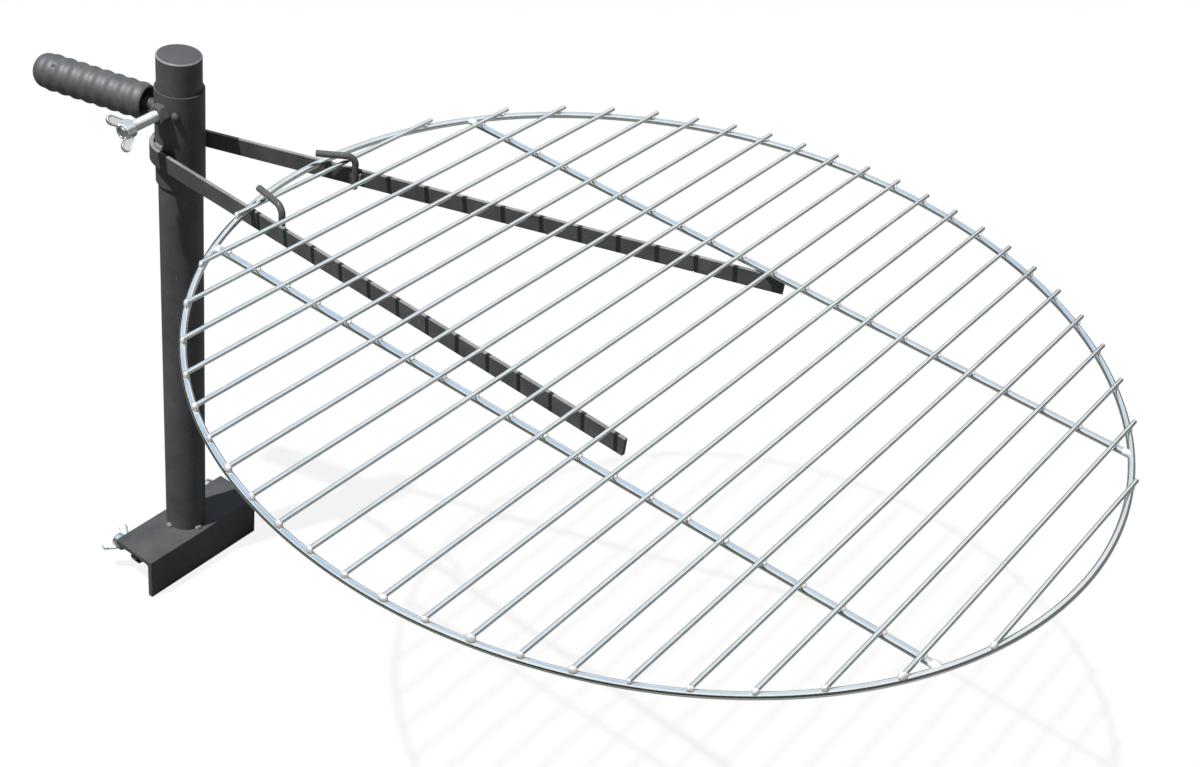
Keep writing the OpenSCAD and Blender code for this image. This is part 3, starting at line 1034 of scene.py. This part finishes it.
# Rubber grip: swells along its length, a domed end and a wide mouth round the rod
gripSettings = {
    "swells": 9,
    "wave": 0.9 * mm,
    "hollow": 1.1,
    "stepsInSwell": 16,
    "spare": 0.02 * mm,  # keeps the swells inside the CAD's
    "edge": 0.6 * mm,
    "endR": 9 * mm,
    "endSteps": 12,
    "turnSteps": 144,
    "boreDepth": 81 * mm,
    "boreGap": 0.05 * mm,
    "mouthDepth": 18 * mm,
    "mouthWall": 2.2 * mm,
    "mouthTaper": 1 * mm,
    "lip": 0.5 * mm,
    "dimple": {"along": 69.5 * mm, "turn": 52, "radius": 1.7 * mm, "depth": 1.0 * mm, "skin": 1 * mm},
}


# Frame along the grip: X from its mouth to its end, Z up
def gripFrame():
    grip = [v.co for v in nodes["handle_grip"].data.vertices]
    axis = middleOf(grip)
    axis = Vector((axis.x, axis.y, 0)).normalized()
    low, high = min(v.z for v in grip), max(v.z for v in grip)
    along = [v.dot(axis) for v in grip]
    place = axesAt(axis * min(along) + up * ((high + low) / 2), axis, up.cross(axis), up)
    return place, max(along) - min(along), (high - low) / 2


def makeGrip(settings):
    place, length, radius = gripFrame()
    radius -= settings["spare"]
    endR, edge, lip = settings["endR"], settings["edge"], settings["lip"]
    straight = length - endR
    pitch = length / settings["swells"]

    def radiusAt(x):
        hollow = (1 + math.cos(2 * math.pi * x / pitch)) / 2
        return radius - settings["wave"] * hollow ** settings["hollow"]

    bore = halfWidth("handle_rod", 2) + settings["boreGap"]
    mouth = radius - settings["wave"] - settings["mouthWall"]
    outline = [(settings["boreDepth"], 0), (settings["boreDepth"], bore),
               (settings["mouthDepth"] + settings["mouthTaper"], bore), (settings["mouthDepth"], mouth),
               (lip, mouth), (0, mouth + lip), (0, radiusAt(0) - edge)]
    steps = settings["swells"] * settings["stepsInSwell"]
    for i in range(1, steps + 1):
        x = edge + (straight - edge) * i / steps
        outline.append((x, radiusAt(x)))
    flat = radiusAt(straight) - endR
    for i in range(1, settings["endSteps"] + 1):
        a = math.radians(90 * i / settings["endSteps"])
        outline.append((straight + endR * math.sin(a), flat + endR * math.cos(a)))
    outline.append((length, 0))
    grip = lathe("handleGrip", outline, settings["turnSteps"], Matrix.Identity(4), gripRubber)
    dimple = settings["dimple"]
    turn = math.radians(dimple["turn"])
    out = Vector((0, math.cos(turn), math.sin(turn)))
    for vertex in grip.data.vertices:
        spot = Vector((dimple["along"], 0, 0)) + out * offAxis(vertex.co)
        away = (vertex.co - spot).length / dimple["radius"]
        if away < 1 and offAxis(vertex.co) > bore + dimple["skin"]:
            vertex.co -= out * (dimple["depth"] * (1 - away ** 2) ** 2)
    grip.data.transform(place)
    seat(grip, "carriage", "grip_rubber", "handle_grip")


makeGrip(gripSettings)
print("grip made")


# Floor, backdrop and light
stageSettings = {
    "floorGap": 0.5 * mm,
    "floorSize": 30,
    "floorColor": (0.18, 0.18, 0.18),
    "floorSeen": (0.80, 0.80, 0.80),
    "floorGlow": 0.88,
    "skyColor": (0.88, 0.94, 1.0),
    "skyLevel": 0.14,
    "horizonSky": (0.97, 0.98, 0.97),
    "zenithSky": (0.52, 0.70, 0.90),
    "skyLean": -0.6,
    "skyBand": (0.60, 1.06),  # from the pale sky to the blue
    "sunHaze": (0.95, 0.99),
    "sunLevel": 4.1,
    "sunAzimuth": 251,
    "sunHeight": 66,
    "sunSpread": 1.2,
    "sunColor": (1.0, 0.985, 0.96),
    "flagRadius": 1.35,
    "flagSteps": 64,
    "flagTop": 0.50,
    "flagRises": ((50, 0.62), (340, 0.50)),  # azimuth and added height
    "flagDark": (0.125, 0.138, 0.118),
    "flagLight": (0.28, 0.292, 0.295),
    "flagLightToward": 45,
    "flagBand": (-0.35, 0.5),  # from dark to light, along that direction from the middle
}


def seenRays(tree):
    rays = addNode(tree, "ShaderNodeLightPath").outputs
    seen = mathNode(tree, "MAXIMUM", rays["Is Camera Ray"], rays["Is Transmission Ray"])
    return seen, rays["Is Glossy Ray"]


def emptyMaterial(name):
    material = bpy.data.materials.new(name)
    material.use_nodes = True
    material.node_tree.nodes.clear()
    return material, material.node_tree


def makeFloor(settings):
    half = settings["floorSize"] / 2
    z = cadLow.z - settings["floorGap"]
    mesh = meshFrom("floor", [(-half, -half, z), (half, -half, z), (half, half, z), (-half, half, z)],
                    faces=[(0, 1, 2, 3)])
    material, tree = emptyMaterial("pale floor")
    seen = seenRays(tree)[0]
    color = mixColor(tree, seen, settings["floorColor"], settings["floorSeen"])
    matte = nodeOutput(tree, "ShaderNodeBsdfDiffuse", {"Color": color})
    glow = nodeOutput(tree, "ShaderNodeEmission", {"Color": (1, 1, 1, 1), "Strength": 1.0})
    share = mathNode(tree, "MULTIPLY", seen, settings["floorGlow"])
    mixed = nodeOutput(tree, "ShaderNodeMixShader", {0: share, 1: matte, 2: glow})
    addNode(tree, "ShaderNodeOutputMaterial", {"Surface": mixed})
    addPiece("floor", mesh, material)


def towardSun(settings):
    azimuth, height = math.radians(settings["sunAzimuth"]), math.radians(settings["sunHeight"])
    return Vector((math.cos(height) * math.cos(azimuth), math.cos(height) * math.sin(azimuth),
                   math.sin(height)))


# The camera sees white, and reflections a sky that is blue overhead, pale low down and hazy round the sun
def makeSky(settings):
    world = bpy.data.worlds.new("studio")
    bpy.context.scene.world = world
    world.use_nodes = True
    tree = world.node_tree
    tree.nodes.clear()
    seen, mirrored = seenRays(tree)
    way = nodeOutput(tree, "ShaderNodeTexCoord", output="Generated")
    parts = addNode(tree, "ShaderNodeSeparateXYZ", {0: way}).outputs
    height = mathNode(tree, "MULTIPLY_ADD", parts[0], settings["skyLean"], parts[2])
    near = vectorMath(tree, "DOT_PRODUCT", way, towardSun(settings))
    blue = mathNode(tree, "MULTIPLY", spread(tree, height, 0, 1, *settings["skyBand"]),
                    spread(tree, near, 1, 0, *settings["sunHaze"]))
    mirrorSky = mixColor(tree, blue, settings["horizonSky"], settings["zenithSky"])
    color = mixColor(tree, mirrored, settings["skyColor"], mirrorSky)
    color = mixColor(tree, seen, color, (1.0, 1.0, 1.0))
    level = spread(tree, mathNode(tree, "MAXIMUM", seen, mirrored), settings["skyLevel"], 1, 0, 1)
    light = nodeOutput(tree, "ShaderNodeBackground", {"Color": color, "Strength": level})
    addNode(tree, "ShaderNodeOutputWorld", {"Surface": light})


# The sun's glint would bleach thin wire on a white ground, so the wires get only its haze in the sky
def makeSun(settings, shaded):
    data = bpy.data.lights.new("sun", "SUN")
    data.energy = settings["sunLevel"]
    data.angle = math.radians(settings["sunSpread"])
    data.color = settings["sunColor"]
    sun = bpy.data.objects.new("sun", data)
    sun.rotation_euler = towardSun(settings).to_track_quat("Z", "Y").to_euler()
    bpy.context.scene.collection.objects.link(sun)
    wires = bpy.data.collections.new("wires")
    for piece in shaded:
        wires.objects.link(piece)
    for entry in wires.collection_objects:
        entry.light_linking.link_state = "EXCLUDE"
    sun.light_linking.receiver_collection = wires


# Dark bowl round the set that only reflections show, so that bright wire has edges on a white ground
def makeFlag(settings):
    centre = (cadLow + cadHigh) / 2
    radius = settings["flagRadius"]
    vertices = []
    for a in turnsRound(settings["flagSteps"]):
        x, y = centre.x + radius * math.cos(a), centre.y + radius * math.sin(a)
        top = settings["flagTop"] + sum(rise * max(math.cos(a - math.radians(azimuth)), 0) ** 2
                                        for azimuth, rise in settings["flagRises"])
        vertices += [(x, y, cadLow.z), (x, y, top)]
    count = len(vertices)
    foot = range(0, count, 2)
    faces = [(i, i + 1, (i + 3) % count, (i + 2) % count) for i in foot] + [list(foot)]
    material, tree = emptyMaterial("dark flag")
    turn = math.radians(settings["flagLightToward"])
    toward = Vector((math.cos(turn), math.sin(turn), 0))
    ahead = vectorMath(tree, "DOT_PRODUCT", nodeOutput(tree, "ShaderNodeTexCoord", output="Object"), toward)
    band = [centre.dot(toward) + offset for offset in settings["flagBand"]]
    color = mixColor(tree, spread(tree, ahead, 0, 1, *band), settings["flagDark"], settings["flagLight"])
    matte = nodeOutput(tree, "ShaderNodeBsdfDiffuse", {"Color": color})
    addNode(tree, "ShaderNodeOutputMaterial", {"Surface": matte})
    flag = addPiece("flag", meshFrom("flag", vertices, faces=faces), material)
    flag.visible_camera = False
    flag.visible_diffuse = False
    flag.visible_shadow = False


makeFloor(stageSettings)
makeSky(stageSettings)
makeSun(stageSettings, wirePieces)
makeFlag(stageSettings)
print("stage made")
